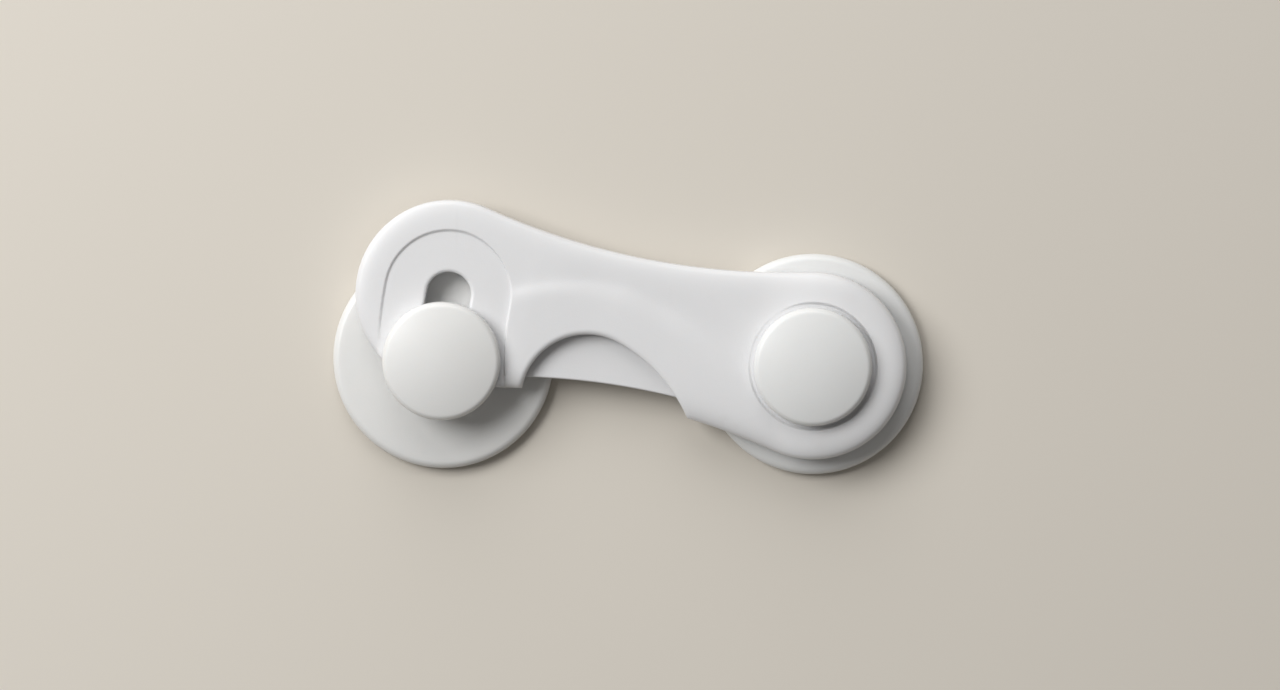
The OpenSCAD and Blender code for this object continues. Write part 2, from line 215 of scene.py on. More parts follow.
def in_outline(u, v):
    """Distance inside the arm's outline, less than zero outside."""
    w = np.abs(v)
    turn = np.arctan2(u - MID_X, SIDE_Y - w)
    side = np.hypot(u - MID_X, w - SIDE_Y) - SIDE_R
    end = END_R - np.hypot(np.where(u > MID_X, u, u + SPAN), w)
    return np.where(np.abs(turn) < SIDE_TURN, side, end)


def from_slot_path(u, v):
    """Distance to the middle line of the slot."""
    turn = np.arctan2(-v, -u)
    along = np.abs(np.hypot(u, v) - SPAN)
    head = np.hypot(u + SPAN, v)
    return np.where((turn > 0) & (turn < 1.2), along, head)


def from_notch(u, v):
    """Distance outside the finger notch, less than zero in it."""
    near = np.hypot(u - NOTCH[0], v - NOTCH[1]) - NOTCH_R
    far = np.hypot(u - NOTCH_FAR[0], v - NOTCH_FAR[1]) - NOTCH_FAR_R
    du, dv = NOTCH[0] - NOTCH_FAR[0], NOTCH[1] - NOTCH_FAR[1]
    right = (u - NOTCH_FAR[0]) * dv - (v - NOTCH_FAR[1]) * du > 0
    box = np.maximum(np.abs(u - NOTCH[0]) - NOTCH_R, v - NOTCH[1])
    return np.where(right, far, np.minimum(near, box))


def fold_drop(u, v):
    """Fall of the face across the long curved crest, steeper and wider towards the ring."""
    q = np.hypot(u - RIDGE[0], v - RIDGE[1]) - RIDGE_R + 1.3 * ramp(u, -41, 9)
    right = ramp(u, -46, 22)
    steep = 0.20 + 0.06 * right
    within = 1.4 + 1.1 * ramp(u, -56, 14)
    beyond = 1.2 + 0.7 * right
    reach = np.where(q < 0, within, beyond)
    drop = -steep * reach * np.tanh(q / reach) - steep * within
    drop = drop * ramp(u, -72, 12) * ramp(-u, -5.0, 19)
    return drop - 0.60 * ramp(-u, 58, 14)


def ring_land(u, v):
    """Slight rise of the face towards the ring, on the side that looks along the arm."""
    turn = np.degrees(np.arctan2(v, -u))
    side = ramp(turn, -60, 50) * ramp(-turn, -52, 40)
    return 0.24 * np.exp(-np.maximum(np.hypot(u, v) - RING_R, 0) / 4.5) * side


def edge_fall(u, v, drop):
    """Rounded fall of the face towards the outline, less where the face is low."""
    deep = 1.12 + 0.43 * ramp(u, -66, 12)
    return deep * (1 + 0.24 * np.maximum(drop, -1.1)) * np.exp(-np.maximum(in_outline(u, v), 0) / 1.8)


def face_height(u, v):
    """The moulded face: it climbs from a rounded edge over the crest, and again to the ring."""
    drop = fold_drop(u, v)
    return FACE_Z + FACE_RISE + drop + ring_land(u, v) - edge_fall(u, v, drop)


def top_height(u, v):
    """Top of the front cover, with its recesses and rounded edges."""
    d = in_outline(u, v)
    s = from_slot_path(u, v)
    ring = np.hypot(u, v)
    n = from_notch(u, v)
    face = face_height(u, v)
    above = face - RECESS_FLOOR
    recess_wall = soft((s - RECESS_HALF + RECESS_WALL / 2) / (RECESS_WALL - 0.5 * ramp(u, -SPAN, 9)))
    ring_wall = soft((ring - RING_R + RING_WALL / 2) / RING_WALL)
    z = RECESS_FLOOR + above * np.where(ring < RING_REGION_R, ring_wall, recess_wall)
    z = z + (COLLAR_TOP - RECESS_FLOOR) * smooth((COLLAR_R - ring) / COLLAR_WALL)
    z = z - rounding(s - SLOT_HALF, SLOT_LIP_R) * 0.8
    z = z - rounding(n, NOTCH_LIP_R) * (0.75 - 0.35 * ramp(u, -45, 9))
    z = z - rounding(ring - BORE_R, BORE_LIP_R)
    z = z - rounding(d, FACE_LIP_R) * 0.5
    low = CAVITY_TOP + LEAST_SKIN
    z = low + SKIN_SOFTNESS * np.logaddexp(0.0, np.maximum((z - low) / SKIN_SOFTNESS, -30))
    out = np.minimum(np.minimum(d, s - SLOT_HALF), np.minimum(n, ring - BORE_R))
    return z + outside_fall(out)


def by_spring(across, along):
    """Point in the plan, measured across and along the spring's axis from its seat."""
    c, k = math.cos(SPRING_LEAN), math.sin(SPRING_LEAN)
    return (SPRING_SEAT[0] + across * c + along * k, SPRING_SEAT[1] - across * k + along * c)


def circle(centre, r, count=None):
    count = count or max(24, int(2 * math.pi * r / 0.5))
    return [(centre[0] + r * math.cos(2 * math.pi * i / count),
             centre[1] + r * math.sin(2 * math.pi * i / count)) for i in range(count)]


def arc(centre, r, a, b, step=0.55, base=None):
    """Points along an arc; base is the radius that sets their number, so that rows line up."""
    count = max(2, int(abs(b - a) * (base or r) / step) + 1)
    return [(centre[0] + r * math.cos(a + (b - a) * i / count),
             centre[1] + r * math.sin(a + (b - a) * i / count)) for i in range(count + 1)]


def outline_row(d, step=0.55):
    """Closed row of points along the arm's outline, d inside it."""
    up = math.pi / 2
    turn = TOUCH_TURN
    side = SIDE_R + d
    row = arc((0, 0), END_R - d, -turn, turn, step, END_R)
    row += arc((MID_X, SIDE_Y), side, -up + SIDE_TURN, -up - SIDE_TURN, step, SIDE_R)[1:-1]
    row += arc(HEAD, END_R - d, math.pi - turn, math.pi + turn, step, END_R)
    row += arc((MID_X, -SIDE_Y), side, up + SIDE_TURN, up - SIDE_TURN, step, SIDE_R)[1:-1]
    return row


def slot_row(half, reach=SLOT_REACH, step=0.5, base=None):
    """Row along both sides and the round end of the slot, half from its middle line."""
    row = arc((0, 0), SPAN + half, math.pi + reach, math.pi, step, SPAN)
    row += arc(HEAD, half, math.pi, 0, step, base)[1:-1]
    row += arc((0, 0), SPAN - half, math.pi, math.pi + reach, step, SPAN)
    return row


def notch_row(off, step=0.5):
    """Row round the finger notch, off outside its edge."""
    lean = math.atan2(NOTCH[1] - NOTCH_FAR[1], NOTCH[0] - NOTCH_FAR[0])
    row = [(NOTCH[0] - NOTCH_R - off, NOTCH[1] - 6 + k * step) for k in range(int(6 / step) + 1)]
    row += arc(NOTCH, NOTCH_R + off, math.pi, lean, step, NOTCH_R)
    row += arc(NOTCH_FAR, NOTCH_FAR_R + off, lean, lean - 1.35, step, NOTCH_FAR_R)[1:]
    return row


def dense(poly, step):
    """Points along a closed outline, about a step apart."""
    row = []
    for (x0, y0), (x1, y1) in zip(poly, poly[1:] + poly[:1]):
        count = max(1, int(math.hypot(x1 - x0, y1 - y0) / step))
        row += [(x0 + (x1 - x0) * i / count, y0 + (y1 - y0) * i / count) for i in range(count)]
    return row


def box_row(u0, v0, u1, v1, step=0.35):
    return dense([(u0, v0), (u1, v0), (u1, v1), (u0, v1)], step)


def band_row(inner, outer, a, b):
    """Outline of a curved window round the pivot."""
    return dense(arc((0, 0), outer, math.pi + a, math.pi + b) +
                 arc((0, 0), inner, math.pi + b, math.pi + a), 0.4)


# Meshes from plans: one surface follows a height, the other steps between levels

def to_arm(points):
    """Turn points from the seated position to the lifted one of the photograph."""
    c, s = math.cos(LIFT), math.sin(LIFT)
    return [(x * c + y * s, -x * s + y * c, z) for x, y, z in points]


def triangulate(loops, points):
    """Triangles over all loops and points, as arrays."""
    verts, edges, seen = [], [], {}

    def place(p):
        key = (round(p[0] * 250), round(p[1] * 250))
        if key not in seen:
            seen[key] = len(verts)
            verts.append(Vector(p))
        return seen[key]

    for loop in loops:
        ids = [place(p) for p in loop]
        edges += [(a, b) for a, b in zip(ids, ids[1:] + ids[:1]) if a != b]
    for p in points:
        place(p)
    found = delaunay_2d_cdt(verts, edges, [], 0, 1e-6)
    return np.array([tuple(p) for p in found[0]]), np.array([tuple(f) for f in found[2]])


def plan_mesh(loops, points, keep, top_level, low_level, top_z, low_z):
    """Solid between an upper and a lower surface. A level of nan follows top_z or low_z."""
    pts, tris = triangulate(loops, points)
    a, b, c = pts[tris[:, 0]], pts[tris[:, 1]], pts[tris[:, 2]]
    area = (b[:, 0] - a[:, 0]) * (c[:, 1] - a[:, 1]) - (b[:, 1] - a[:, 1]) * (c[:, 0] - a[:, 0])
    mid = (a + b + c) / 3
    good = keep(mid[:, 0], mid[:, 1]) & (np.abs(area) > 1e-7)
    tris = tris[good]
    tris[area[good] < 0] = tris[area[good] < 0][:, ::-1]
    mid = mid[good]
    tops, lows = top_level(mid[:, 0], mid[:, 1]), low_level(mid[:, 0], mid[:, 1])
    z_top, z_low = top_z(pts[:, 0], pts[:, 1]), low_z(pts[:, 0], pts[:, 1])
    verts, keys, columns = [], {}, {}

    def corner(i, level, upper):
        smooth_one = level != level
        key = (i, "t" if upper else "b") if smooth_one else (i, round(float(level), 4))
        if key not in keys:
            z = (z_top[i] if upper else z_low[i]) if smooth_one else float(level)
            keys[key] = len(verts)
            verts.append((pts[i][0], pts[i][1], z))
            columns.setdefault(i, []).append((z, keys[key]))
        return keys[key]

    faces, kinds, sides = [], [], {}
    for t, tri in enumerate(tris):
        faces.append([corner(i, tops[t], True) for i in tri])
        kinds.append("top" if tops[t] != tops[t] else "flat")
        faces.append([corner(i, lows[t], False) for i in tri[::-1]])
        kinds.append("low" if lows[t] != lows[t] else "flat")
        for i, j in ((0, 1), (1, 2), (2, 0)):
            sides[(tri[i], tri[j])] = t
    for column in columns.values():
        column.sort()

    def wall(i, j, low_i, high_i, low_j, high_j):
        """Wall on the left of i to j, from the lower corners up to the upper ones."""
        zi = [k for z, k in columns[i] if verts[low_i][2] <= z <= verts[high_i][2]]
        zj = [k for z, k in columns[j] if verts[low_j][2] <= z <= verts[high_j][2]]
        if len(zi) + len(zj) > 2:
            faces.append(zi[::-1] + zj)
            kinds.append("wall")

    for (i, j), t in sides.items():
        other = sides.get((j, i))
        ti, tj = corner(i, tops[t], True), corner(j, tops[t], True)
        li, lj = corner(i, lows[t], False), corner(j, lows[t], False)
        if other is None:
            wall(i, j, li, ti, lj, tj)
            continue
        oi, oj = corner(i, tops[other], True), corner(j, tops[other], True)
        if oi != ti and verts[oi][2] + verts[oj][2] < verts[ti][2] + verts[tj][2]:
            wall(i, j, oi, ti, oj, tj)
        oi, oj = corner(i, lows[other], False), corner(j, lows[other], False)
        if oi != li and verts[oi][2] + verts[oj][2] > verts[li][2] + verts[lj][2]:
            wall(i, j, li, oi, lj, oj)
    return verts, faces, kinds


def surface_normals(verts, height, sign):
    """Exact normals of a height surface."""
    u, v = verts[:, 0], verts[:, 1]
    e = 0.012
    du = (height(u + e, v) - height(u - e, v)) / (2 * e)
    dv = (height(u, v + e) - height(u, v - e)) / (2 * e)
    n = np.stack([-du, -dv, np.ones_like(du)], axis=1) * sign
    return n / np.linalg.norm(n, axis=1)[:, None]


def build(name, verts, faces, kinds=None, top=None, low=None, place=to_arm, sharp=32):
    """Make the mesh object, with exact normals where the height is known."""
    mesh = bpy.data.meshes.new(name)
    placed = place(verts) if place else verts
    mesh.from_pydata([(x * MM, y * MM, z * MM) for x, y, z in placed], [], faces)
    mesh.validate(clean_customdata=False)
    mesh.update()
    mesh.shade_smooth()
    mesh.set_sharp_from_angle(angle=math.radians(sharp))
    if kinds is not None and len(mesh.polygons) == len(faces):
        flat = np.array(verts)
        normals = {}
        if top is not None:
            normals["top"] = surface_normals(flat, top, 1)
        if low is not None:
            normals["low"] = surface_normals(flat, low, -1)
        table = []
        wall_at = {}
        for f, kind, poly in zip(faces, kinds, mesh.polygons):
            if kind == "wall":
                for i in f:
                    key = (round(flat[i][0], 5), round(flat[i][1], 5))
                    wall_at.setdefault(key, []).append(np.array(poly.normal))
        c, s = math.cos(LIFT), math.sin(LIFT)
        for f, kind, poly in zip(faces, kinds, mesh.polygons):
            own = np.array(poly.normal)
            for i in f:
                if kind in normals:
                    n = normals[kind][i]
                    if place is to_arm:
                        n = (n[0] * c + n[1] * s, -n[0] * s + n[1] * c, n[2])
                elif kind == "wall":
                    near = [m for m in wall_at[(round(flat[i][0], 5), round(flat[i][1], 5))]
                            if float(np.dot(m, own)) > 0.8]
                    n = np.sum(near, axis=0)
                    n = n / (np.linalg.norm(n) + 1e-12)
                else:
                    n = own
                table.append((float(n[0]), float(n[1]), float(n[2])))
        mesh.normals_split_custom_set(table)
    obj = bpy.data.objects.new(name, mesh)
    bpy.context.scene.collection.objects.link(obj)
    return obj


def revolve(profile, count=160, centre=(0.0, 0.0), shape=None, closed=False):
    """Turn a profile of radius, height and an optional mark about a vertical axis."""
    verts, faces, rings = [], [], []
    for p in profile:
        r, z = p[0], p[1]
        mark = p[2] if len(p) > 2 else None
        if r < 1e-6:
            rings.append([len(verts)])
            verts.append((centre[0], centre[1], z))
            continue
        ring = []
        for i in range(count):
            a = 2 * math.pi * i / count
            k = shape(a, mark, r) if shape and mark else r
            ring.append(len(verts))
            verts.append((centre[0] + k * math.cos(a), centre[1] + k * math.sin(a), z))
        rings.append(ring)
    pairs = list(zip(rings, rings[1:]))
    if closed:
        pairs.append((rings[-1], rings[0]))
    for lower, upper in pairs:
        for i in range(count):
            j = (i + 1) % count
            if len(lower) == 1 and len(upper) == 1:
                continue
            if len(lower) == 1:
                faces.append([lower[0], upper[j], upper[i]])
            elif len(upper) == 1:
                faces.append([lower[i], lower[j], upper[0]])
            else:
                faces.append([lower[i], lower[j], upper[j], upper[i]])
    return verts, faces


def bend(cx, cz, r, a, b, count=8):
    """Part of a round edge in a profile; angles in degrees."""
    a, b = math.radians(a), math.radians(b)
    return [(cx + r * math.cos(a + (b - a) * i / count), cz + r * math.sin(a + (b - a) * i / count))
            for i in range(count + 1)]


def recalc(obj):
    """Turn all faces outwards and mark the sharp edges again."""
    bm = bmesh.new()
    bm.from_mesh(obj.data)
    bmesh.ops.recalc_face_normals(bm, faces=bm.faces)
    bm.to_mesh(obj.data)
    bm.free()
    obj.data.set_sharp_from_angle(angle=math.radians(32))
    return obj


# The arm's front cover

def in_cavity(u, v):
    """Hollow of the front cover, clear of its walls, bosses and the spring's rib."""
    d = in_outline(u, v)
    s = from_slot_path(u, v)
    ok = (d > WALL) & (s > SLOT_HALF + SLOT_WALL) & (np.hypot(u, v) > BORE_R + BORE_WALL)
    for spot in SCREW_SPOTS:
        ok &= np.hypot(u - spot[0], v - spot[1]) > SCREW_BOSS_R
    c, k = math.cos(SPRING_LEAN), math.sin(SPRING_LEAN)
    x, y = u - SPRING_SEAT[0], v - SPRING_SEAT[1]
    along, across = x * k + y * c, x * c - y * k
    rib = (np.abs(across) < RIB_HALF) & (along > RIB_NEAR) & (along < RIB_FAR)
    return ok & ~rib


def in_windows(u, v):
    """Openings in the front cover's walls for the lever's tooth and tab."""
    turn = np.degrees(np.arctan2(-v, -u))
    r = np.hypot(u, v)
    first, last = TOOTH_WINDOW_TURN
    u0, v0, u1, v1 = TAB_WINDOW
    slot = (turn > first) & (turn < last) & (r > SPAN - SLOT_HALF - TOOTH_WINDOW_DEPTH) & (r < SPAN)
    side = (u > u0) & (u < u1) & (v > v0) & (v < v1)
    return slot | side


def arm_material(u, v):
    """Where the arm is solid in plan."""
    return ((in_outline(u, v) > 0) & (from_slot_path(u, v) > SLOT_HALF)
            & (from_notch(u, v) > 0) & (np.hypot(u, v) > BORE_R))


def follow_height(u, v):
    """Levels of a surface that has a height function of its own."""
    return np.full(u.shape, np.nan)


def cavity_floor(u, v):
    return np.full(u.shape, CAVITY_FLOOR)


def front_levels(u, v):
    """Height of the front cover's underside."""
    level = cavity_floor(u, v)
    level[in_cavity(u, v) | in_windows(u, v)] = CAVITY_TOP
    level[np.hypot(u - PIN[0], v - PIN[1]) < PIN_HOLE_R] = PIN_HOLE_TOP
    for spot in SCREW_SPOTS:
        r = np.hypot(u - spot[0], v - spot[1])
        level[r < SCREW_WELL_R] = SCREW_WELL_TOP
        level[r < SCREW_BORE_R] = SCREW_BORE_TOP
    return level


def arm_rows(step):
    """Points of the front cover's face, in rows that line up with its edges."""
    points = []
    for d in EDGE_ROWS:
        points += outline_row(d, step)
    for w in WALL_ROWS:
        points += slot_row(RECESS_HALF + w, 0.36, step, RECESS_HALF)
        points += circle((0, 0), RING_R + w, int(2 * math.pi * RING_R / step))
    for w in LIP_ROWS:
        points += slot_row(SLOT_HALF + w, 0.36, 0.45, SLOT_HALF)
    for w in NOTCH_ROWS:
        points += notch_row(w, 0.36)
    for w in COLLAR_ROWS:
        points += circle((0, 0), COLLAR_R + w, 72)
    grid = []
    for q in RIDGE_ROWS:
        grid += arc(RIDGE, RIDGE_R + q, 0.2, 2.3, step * 1.3, RIDGE_R)
    pitch = 0.9
    for j in range(-24, 25):
        for i in range(-110, 24):
            grid.append(((i + 0.5 * (j % 2)) * pitch, j * pitch * 0.87))
    g = np.array(grid)
    u, v = g[:, 0], g[:, 1]
    s, ring = from_slot_path(u, v), np.hypot(u, v)
    clear = ((in_outline(u, v) > 3.9) & (np.abs(s - RECESS_HALF) > 0.85) & (np.abs(ring - RING_R) > 0.85)
             & (s > SLOT_HALF + 1.4) & (from_notch(u, v) > 1.75) & (ring > BORE_R + 0.4))
    points += [tuple(p) for p in g[clear]]
    p = np.array(points)
    inside = (in_outline(p[:, 0], p[:, 1]) > 0.015) & (from_slot_path(p[:, 0], p[:, 1]) > SLOT_HALF + 0.015)
    inside &= (from_notch(p[:, 0], p[:, 1]) > 0.015) & (np.hypot(p[:, 0], p[:, 1]) > BORE_R + 0.015)
    return [tuple(q) for q in p[inside]]


def make_front_cover():
    step = 0.62
    rib = [by_spring(a, b) for a, b in ((-RIB_HALF, RIB_NEAR), (RIB_HALF, RIB_NEAR),
                                        (RIB_HALF, RIB_FAR), (-RIB_HALF, RIB_FAR))]
    first, last = (math.radians(turn) for turn in TOOTH_WINDOW_TURN)
    loops = [outline_row(0, step), slot_row(SLOT_HALF, step=0.45, base=SLOT_HALF), notch_row(0, 0.36),
             circle((0, 0), BORE_R), outline_row(WALL, step), slot_row(SLOT_HALF + SLOT_WALL, step=0.6),
             circle((0, 0), BORE_R + BORE_WALL, 60), dense(rib, 0.5), circle(PIN, PIN_HOLE_R, 24),
             band_row(SPAN - SLOT_HALF - TOOTH_WINDOW_DEPTH, SPAN, first, last), box_row(*TAB_WINDOW)]
    for spot in SCREW_SPOTS:
        loops += [circle(spot, SCREW_WELL_R, 28), circle(spot, SCREW_BOSS_R, 28),
                  circle(spot, SCREW_BORE_R, 20)]
    verts, faces, kinds = plan_mesh(loops, arm_rows(step), arm_material, follow_height, front_levels,
                                    top_height, cavity_floor)
    return build("front_cover", verts, faces, kinds, top=top_height)


# The arm's back cover

def back_outline(u, v):
    """Distance inside the back cover's plan."""
    d = np.minimum(in_outline(u, v), from_slot_path(u, v) - SLOT_HALF)
    d = np.minimum(d, np.hypot(u, v) - BORE_R)
    return np.minimum(d, np.maximum(from_notch(u, v), v - BACK_NOTCH_Y))


def back_height(u, v):
    d = back_outline(u, v)
    return ARM_BACK + rounding(d, 0.3) - outside_fall(d)


def back_tops(u, v):
    level = cavity_floor(u, v)
    for spot in SCREW_SPOTS:
        level[np.hypot(u - spot[0], v - spot[1]) < SCREW_POST_R] = SCREW_POST_TOP
    level[np.hypot(u - PIN[0], v - PIN[1]) < PIN_HOLE_R] = PIN_HOLE_LOW
    return level


def back_lows(u, v):
    level = np.full(u.shape, np.nan)
    for spot in SCREW_SPOTS:
        level[np.hypot(u - spot[0], v - spot[1]) < SCREW_POCKET_R] = SCREW_POCKET_TOP
    return level


def make_back_cover():
    step = 0.8
    loops = [outline_row(0, step), slot_row(SLOT_HALF, step=step), circle((0, 0), BORE_R),
             notch_row(0, step), box_row(-70, -30, -10, BACK_NOTCH_Y, 0.8), circle(PIN, PIN_HOLE_R, 24)]
    for spot in SCREW_SPOTS:
        loops += [circle(spot, SCREW_POST_R, 28), circle(spot, SCREW_POCKET_R, 28),
                  circle(spot, SCREW_BORE_R, 20)]
    points = []
    for d in (0.03, 0.09, 0.18, 0.3, 0.6):
        points += outline_row(d, step) + slot_row(SLOT_HALF + d, step=step) + circle((0, 0), BORE_R + d, 50)
        points += notch_row(d, step)
    g = np.array([(i * 3.0 + 1.5 * (j % 2), j * 2.6) for j in range(-8, 9) for i in range(-33, 8)])
    points += [tuple(p) for p in g]
    p = np.array(points)
    points = [tuple(q) for q in p[back_outline(p[:, 0], p[:, 1]) > 0.02]]

    def keep(u, v):
        ok = back_outline(u, v) > 0
        for spot in SCREW_SPOTS:
            ok &= np.hypot(u - spot[0], v - spot[1]) > SCREW_BORE_R
        return ok

    verts, faces, kinds = plan_mesh(loops, points, keep, back_tops, back_lows, cavity_floor, back_height)
    return build("back_cover", verts, faces, kinds, low=back_height)


# The release lever

def rim(r, a):
    """Point at radius r from the pivot, a degrees below the arm's axis."""
    a = math.radians(a)
    return (-r * math.cos(a), -r * math.sin(a))


def turned(points, angle):
    """Points turned about the lever's pin by an angle in degrees."""
    c, s = math.cos(math.radians(angle)), math.sin(math.radians(angle))
    return [(PIN[0] + (x - PIN[0]) * c - (y - PIN[1]) * s, PIN[1] + (x - PIN[0]) * s + (y - PIN[1]) * c)
            for x, y in points]


def inside_polygon(poly, u, v):
    hit = np.zeros(u.shape, bool)
    for (x0, y0), (x1, y1) in zip(poly, poly[1:] + poly[:1]):
        if y0 == y1:
            continue
        cross = ((y0 > v) != (y1 > v)) & (u < (x1 - x0) * (v - y0) / (y1 - y0) + x0)
        hit ^= cross
    return hit


def near_polygon(poly, u, v):
    """Distance to the nearest side of a closed outline."""
    best = np.full(u.shape, 1e9)
    for (x0, y0), (x1, y1) in zip(poly, poly[1:] + poly[:1]):
        dx, dy = x1 - x0, y1 - y0
        t = np.clip(((u - x0) * dx + (v - y0) * dy) / (dx * dx + dy * dy + 1e-12), 0, 1)
        best = np.minimum(best, np.hypot(u - x0 - t * dx, v - y0 - t * dy))
    return best


# Outlines of the lever: its tooth side is drawn released, and PRESS degrees turn it in
PRESS = 8
TOOTH_SIDE = turned([(-68.3, 15.2), (-71.9, 11.65), (-69.1, 5.4), rim(69.0, 0), rim(69.0, 3.6),
                     rim(73.2, 3.35), rim(73.2, 4.7), rim(70.6, 7.4), rim(69.0, 7.8),
                     (-63.4, -12.4), (-56, -8), (-58, 4)], PRESS)
EDGE_CENTRE = (-32.6, -11.6 - SIDE_R)
TAB = [(-57.9, -20), (-57.9, -8), (-60.5, 4), (-56, 6.5), (-46, 4.4), (-30, 4.4), (-21.4, 2.4), (-20.6, -3.8),
       (-24.4, -11.8), (-24.4, -20)]
SEAT_BLOCK = [by_spring(a, b) for a, b in ((-1.5, -0.6), (1.5, -0.6), (1.5, 0.6), (-1.5, 0.6))]
BOSS = circle(PIN, LEVER_BOSS_R, 48)


def signed(poly, u, v):
    """Distance inside a closed outline, less than zero outside."""
    d = near_polygon(poly, u, v)
    return np.where(inside_polygon(poly, u, v), d, -d)


def lever_depth(u, v):
    """Distance inside the lever's plan."""
    tab = np.minimum(signed(TAB, u, v), np.hypot(u - EDGE_CENTRE[0], v - EDGE_CENTRE[1]) - SIDE_R)
    boss = LEVER_BOSS_R - np.hypot(u - PIN[0], v - PIN[1])
    d = np.maximum(np.maximum(tab, boss), np.maximum(signed(TOOTH_SIDE, u, v), signed(SEAT_BLOCK, u, v)))
    return np.minimum(d, np.hypot(u - PIN[0], v - PIN[1]) - LEVER_BORE_R)


def lever_material(u, v):
    return lever_depth(u, v) > 0


def lever_top(u, v):
    d = lever_depth(u, v)
    return LEVER_TOP - rounding(d, 0.35) + outside_fall(d)


def lever_low(u, v):
    d = lever_depth(u, v)
    return LEVER_Z + rounding(d, 0.2) - outside_fall(d)


def shifted(row, off):
    """Points on both sides of a closed row."""
    found = []
    count = len(row)
    for i in range(count):
        x0, y0 = row[i - 1]
        x1, y1 = row[(i + 1) % count]
        k = math.hypot(x1 - x0, y1 - y0) + 1e-9
        nx, ny = (y1 - y0) / k, -(x1 - x0) / k
        found += [(row[i][0] + nx * off, row[i][1] + ny * off), (row[i][0] - nx * off, row[i][1] - ny * off)]
    return found


def spring_peg(sides=20):
    """Short peg on the lever's seat that holds the spring's coil."""
    verts, faces = [], []
    stops = ((0.1, PEG_R), (2.05, PEG_R), (2.14, PEG_R - 0.04), (2.2, PEG_R - 0.14))
    for along, r in stops:
        for i in range(sides):
            a = 2 * math.pi * i / sides
            verts.append((*by_spring(r * math.cos(a), along), SPRING_Z + r * math.sin(a)))
    for j in range(len(stops) - 1):
        for i in range(sides):
            n = (i + 1) % sides
            faces.append([j * sides + i, j * sides + n, (j + 1) * sides + n, (j + 1) * sides + i])
    faces.append(list(range(sides))[::-1])
    faces.append([(len(stops) - 1) * sides + i for i in range(sides)])
    return verts, [f[::-1] for f in faces]


def make_lever():
    edge = arc(EDGE_CENTRE, SIDE_R, math.pi / 2 + 0.19, math.pi / 2 - 0.09, 0.5)
    edge_loop = edge + [(-19.4, -30), (-60.3, -30)]
    rows = [dense(TOOTH_SIDE, 0.5), dense(TAB, 0.5), dense(SEAT_BLOCK, 0.4), BOSS]
    loops = rows + [edge_loop, circle(PIN, LEVER_BORE_R, 32)]
    points = []
    for off in (0.02, 0.06, 0.12, 0.2, 0.28, 0.36, 0.6):
        for row in rows:
            points += shifted(row, off)
        points += arc(EDGE_CENTRE, SIDE_R + off, math.pi / 2 + 0.18, math.pi / 2 - 0.06, 0.5)
        points += circle(PIN, LEVER_BORE_R + off, 32)
    points += [(i * 1.5 + 0.75 * (j % 2), j * 1.3) for j in range(-14, 14) for i in range(-52, -10)]
    p = np.array(points)
    points = [tuple(q) for q in p[lever_depth(p[:, 0], p[:, 1]) > 0.015]]
    verts, faces, kinds = plan_mesh(loops, points, lever_material, follow_height, follow_height,
                                    lever_top, lever_low)
    peg_verts, peg_faces = spring_peg()
    kinds += ["peg"] * len(peg_faces)
    verts, faces = joined([(verts, faces), (peg_verts, peg_faces)])
    return build("lever", verts, faces, kinds, top=lever_top, low=lever_low)


# Bases, knobs, pads and screws

def post_shape(a, mark, r):
    """Section of the strike post: round above and square below, where the tooth catches."""
    if math.sin(a) >= 0:
        return r
    return min(r / max(abs(math.cos(a)), abs(math.sin(a))), r * 1.34)


def crown(r):
    """How far the base falls away towards its rim."""
    return CROWN * max(0.0, (r - CROWN_START) / (BASE_R - BASE_EDGE_R - CROWN_START)) ** 2


def base_profile():
    """Base and post: up from the socket for the knob's stem, outwards, and back along the underside."""
    p = [(SOCKET_R, SOCKET_FLOOR), (SOCKET_R, KNOB_Z - 0.1), (SOCKET_R + 0.09, KNOB_Z)]
    tip = ((-0.14, 0.0), (-0.04, 0.04), (0.0, 0.14))
    foot = ((0.0, 0.45), (0.03, 0.25), (0.12, 0.11), (0.3, 0.02), (0.5, 0.0))
    p += [(POST_R + out, KNOB_Z - down, "post") for out, down in tip] + [(POST_R, POST_MIDDLE, "post")]
    p += [(POST_R + out, SEAT_TOP + up, "post") for out, up in foot]
    p += [(SEAT_R - 0.2, SEAT_TOP), (SEAT_R - 0.05, SEAT_TOP - 0.05), (SEAT_R + 0.02, SEAT_TOP - 0.2),
          (SEAT_R + 0.2, BASE_TOP + 0.03), (SEAT_R + 0.5, BASE_TOP)]
    p += [(r, BASE_TOP - crown(r)) for r in (8.5, 10, 11, 12, 13, 14, 15, 16, 17, 18, 18.8, 19.6, 20.3)]
    edge = BASE_R - BASE_EDGE_R
    low = BASE_TOP - crown(edge)
    p += bend(edge, low - BASE_EDGE_R, BASE_EDGE_R, 81, 0, 16)
    p += [(BASE_R, low - BASE_EDGE_R - 0.15), (BASE_R, 1.0), (BASE_R - 0.06, 0.86), (BASE_R - 0.2, PAD_T),
          (PAD_R - 0.5, PAD_T), (HEAD_POCKET_R + 0.15, PAD_T), (HEAD_POCKET_R, PAD_T + 0.1),
          (HEAD_POCKET_R, HEAD_POCKET_TOP), (SCREW_HOLE_R, HEAD_POCKET_TOP), (SCREW_HOLE_R, SOCKET_FLOOR)]
    return p


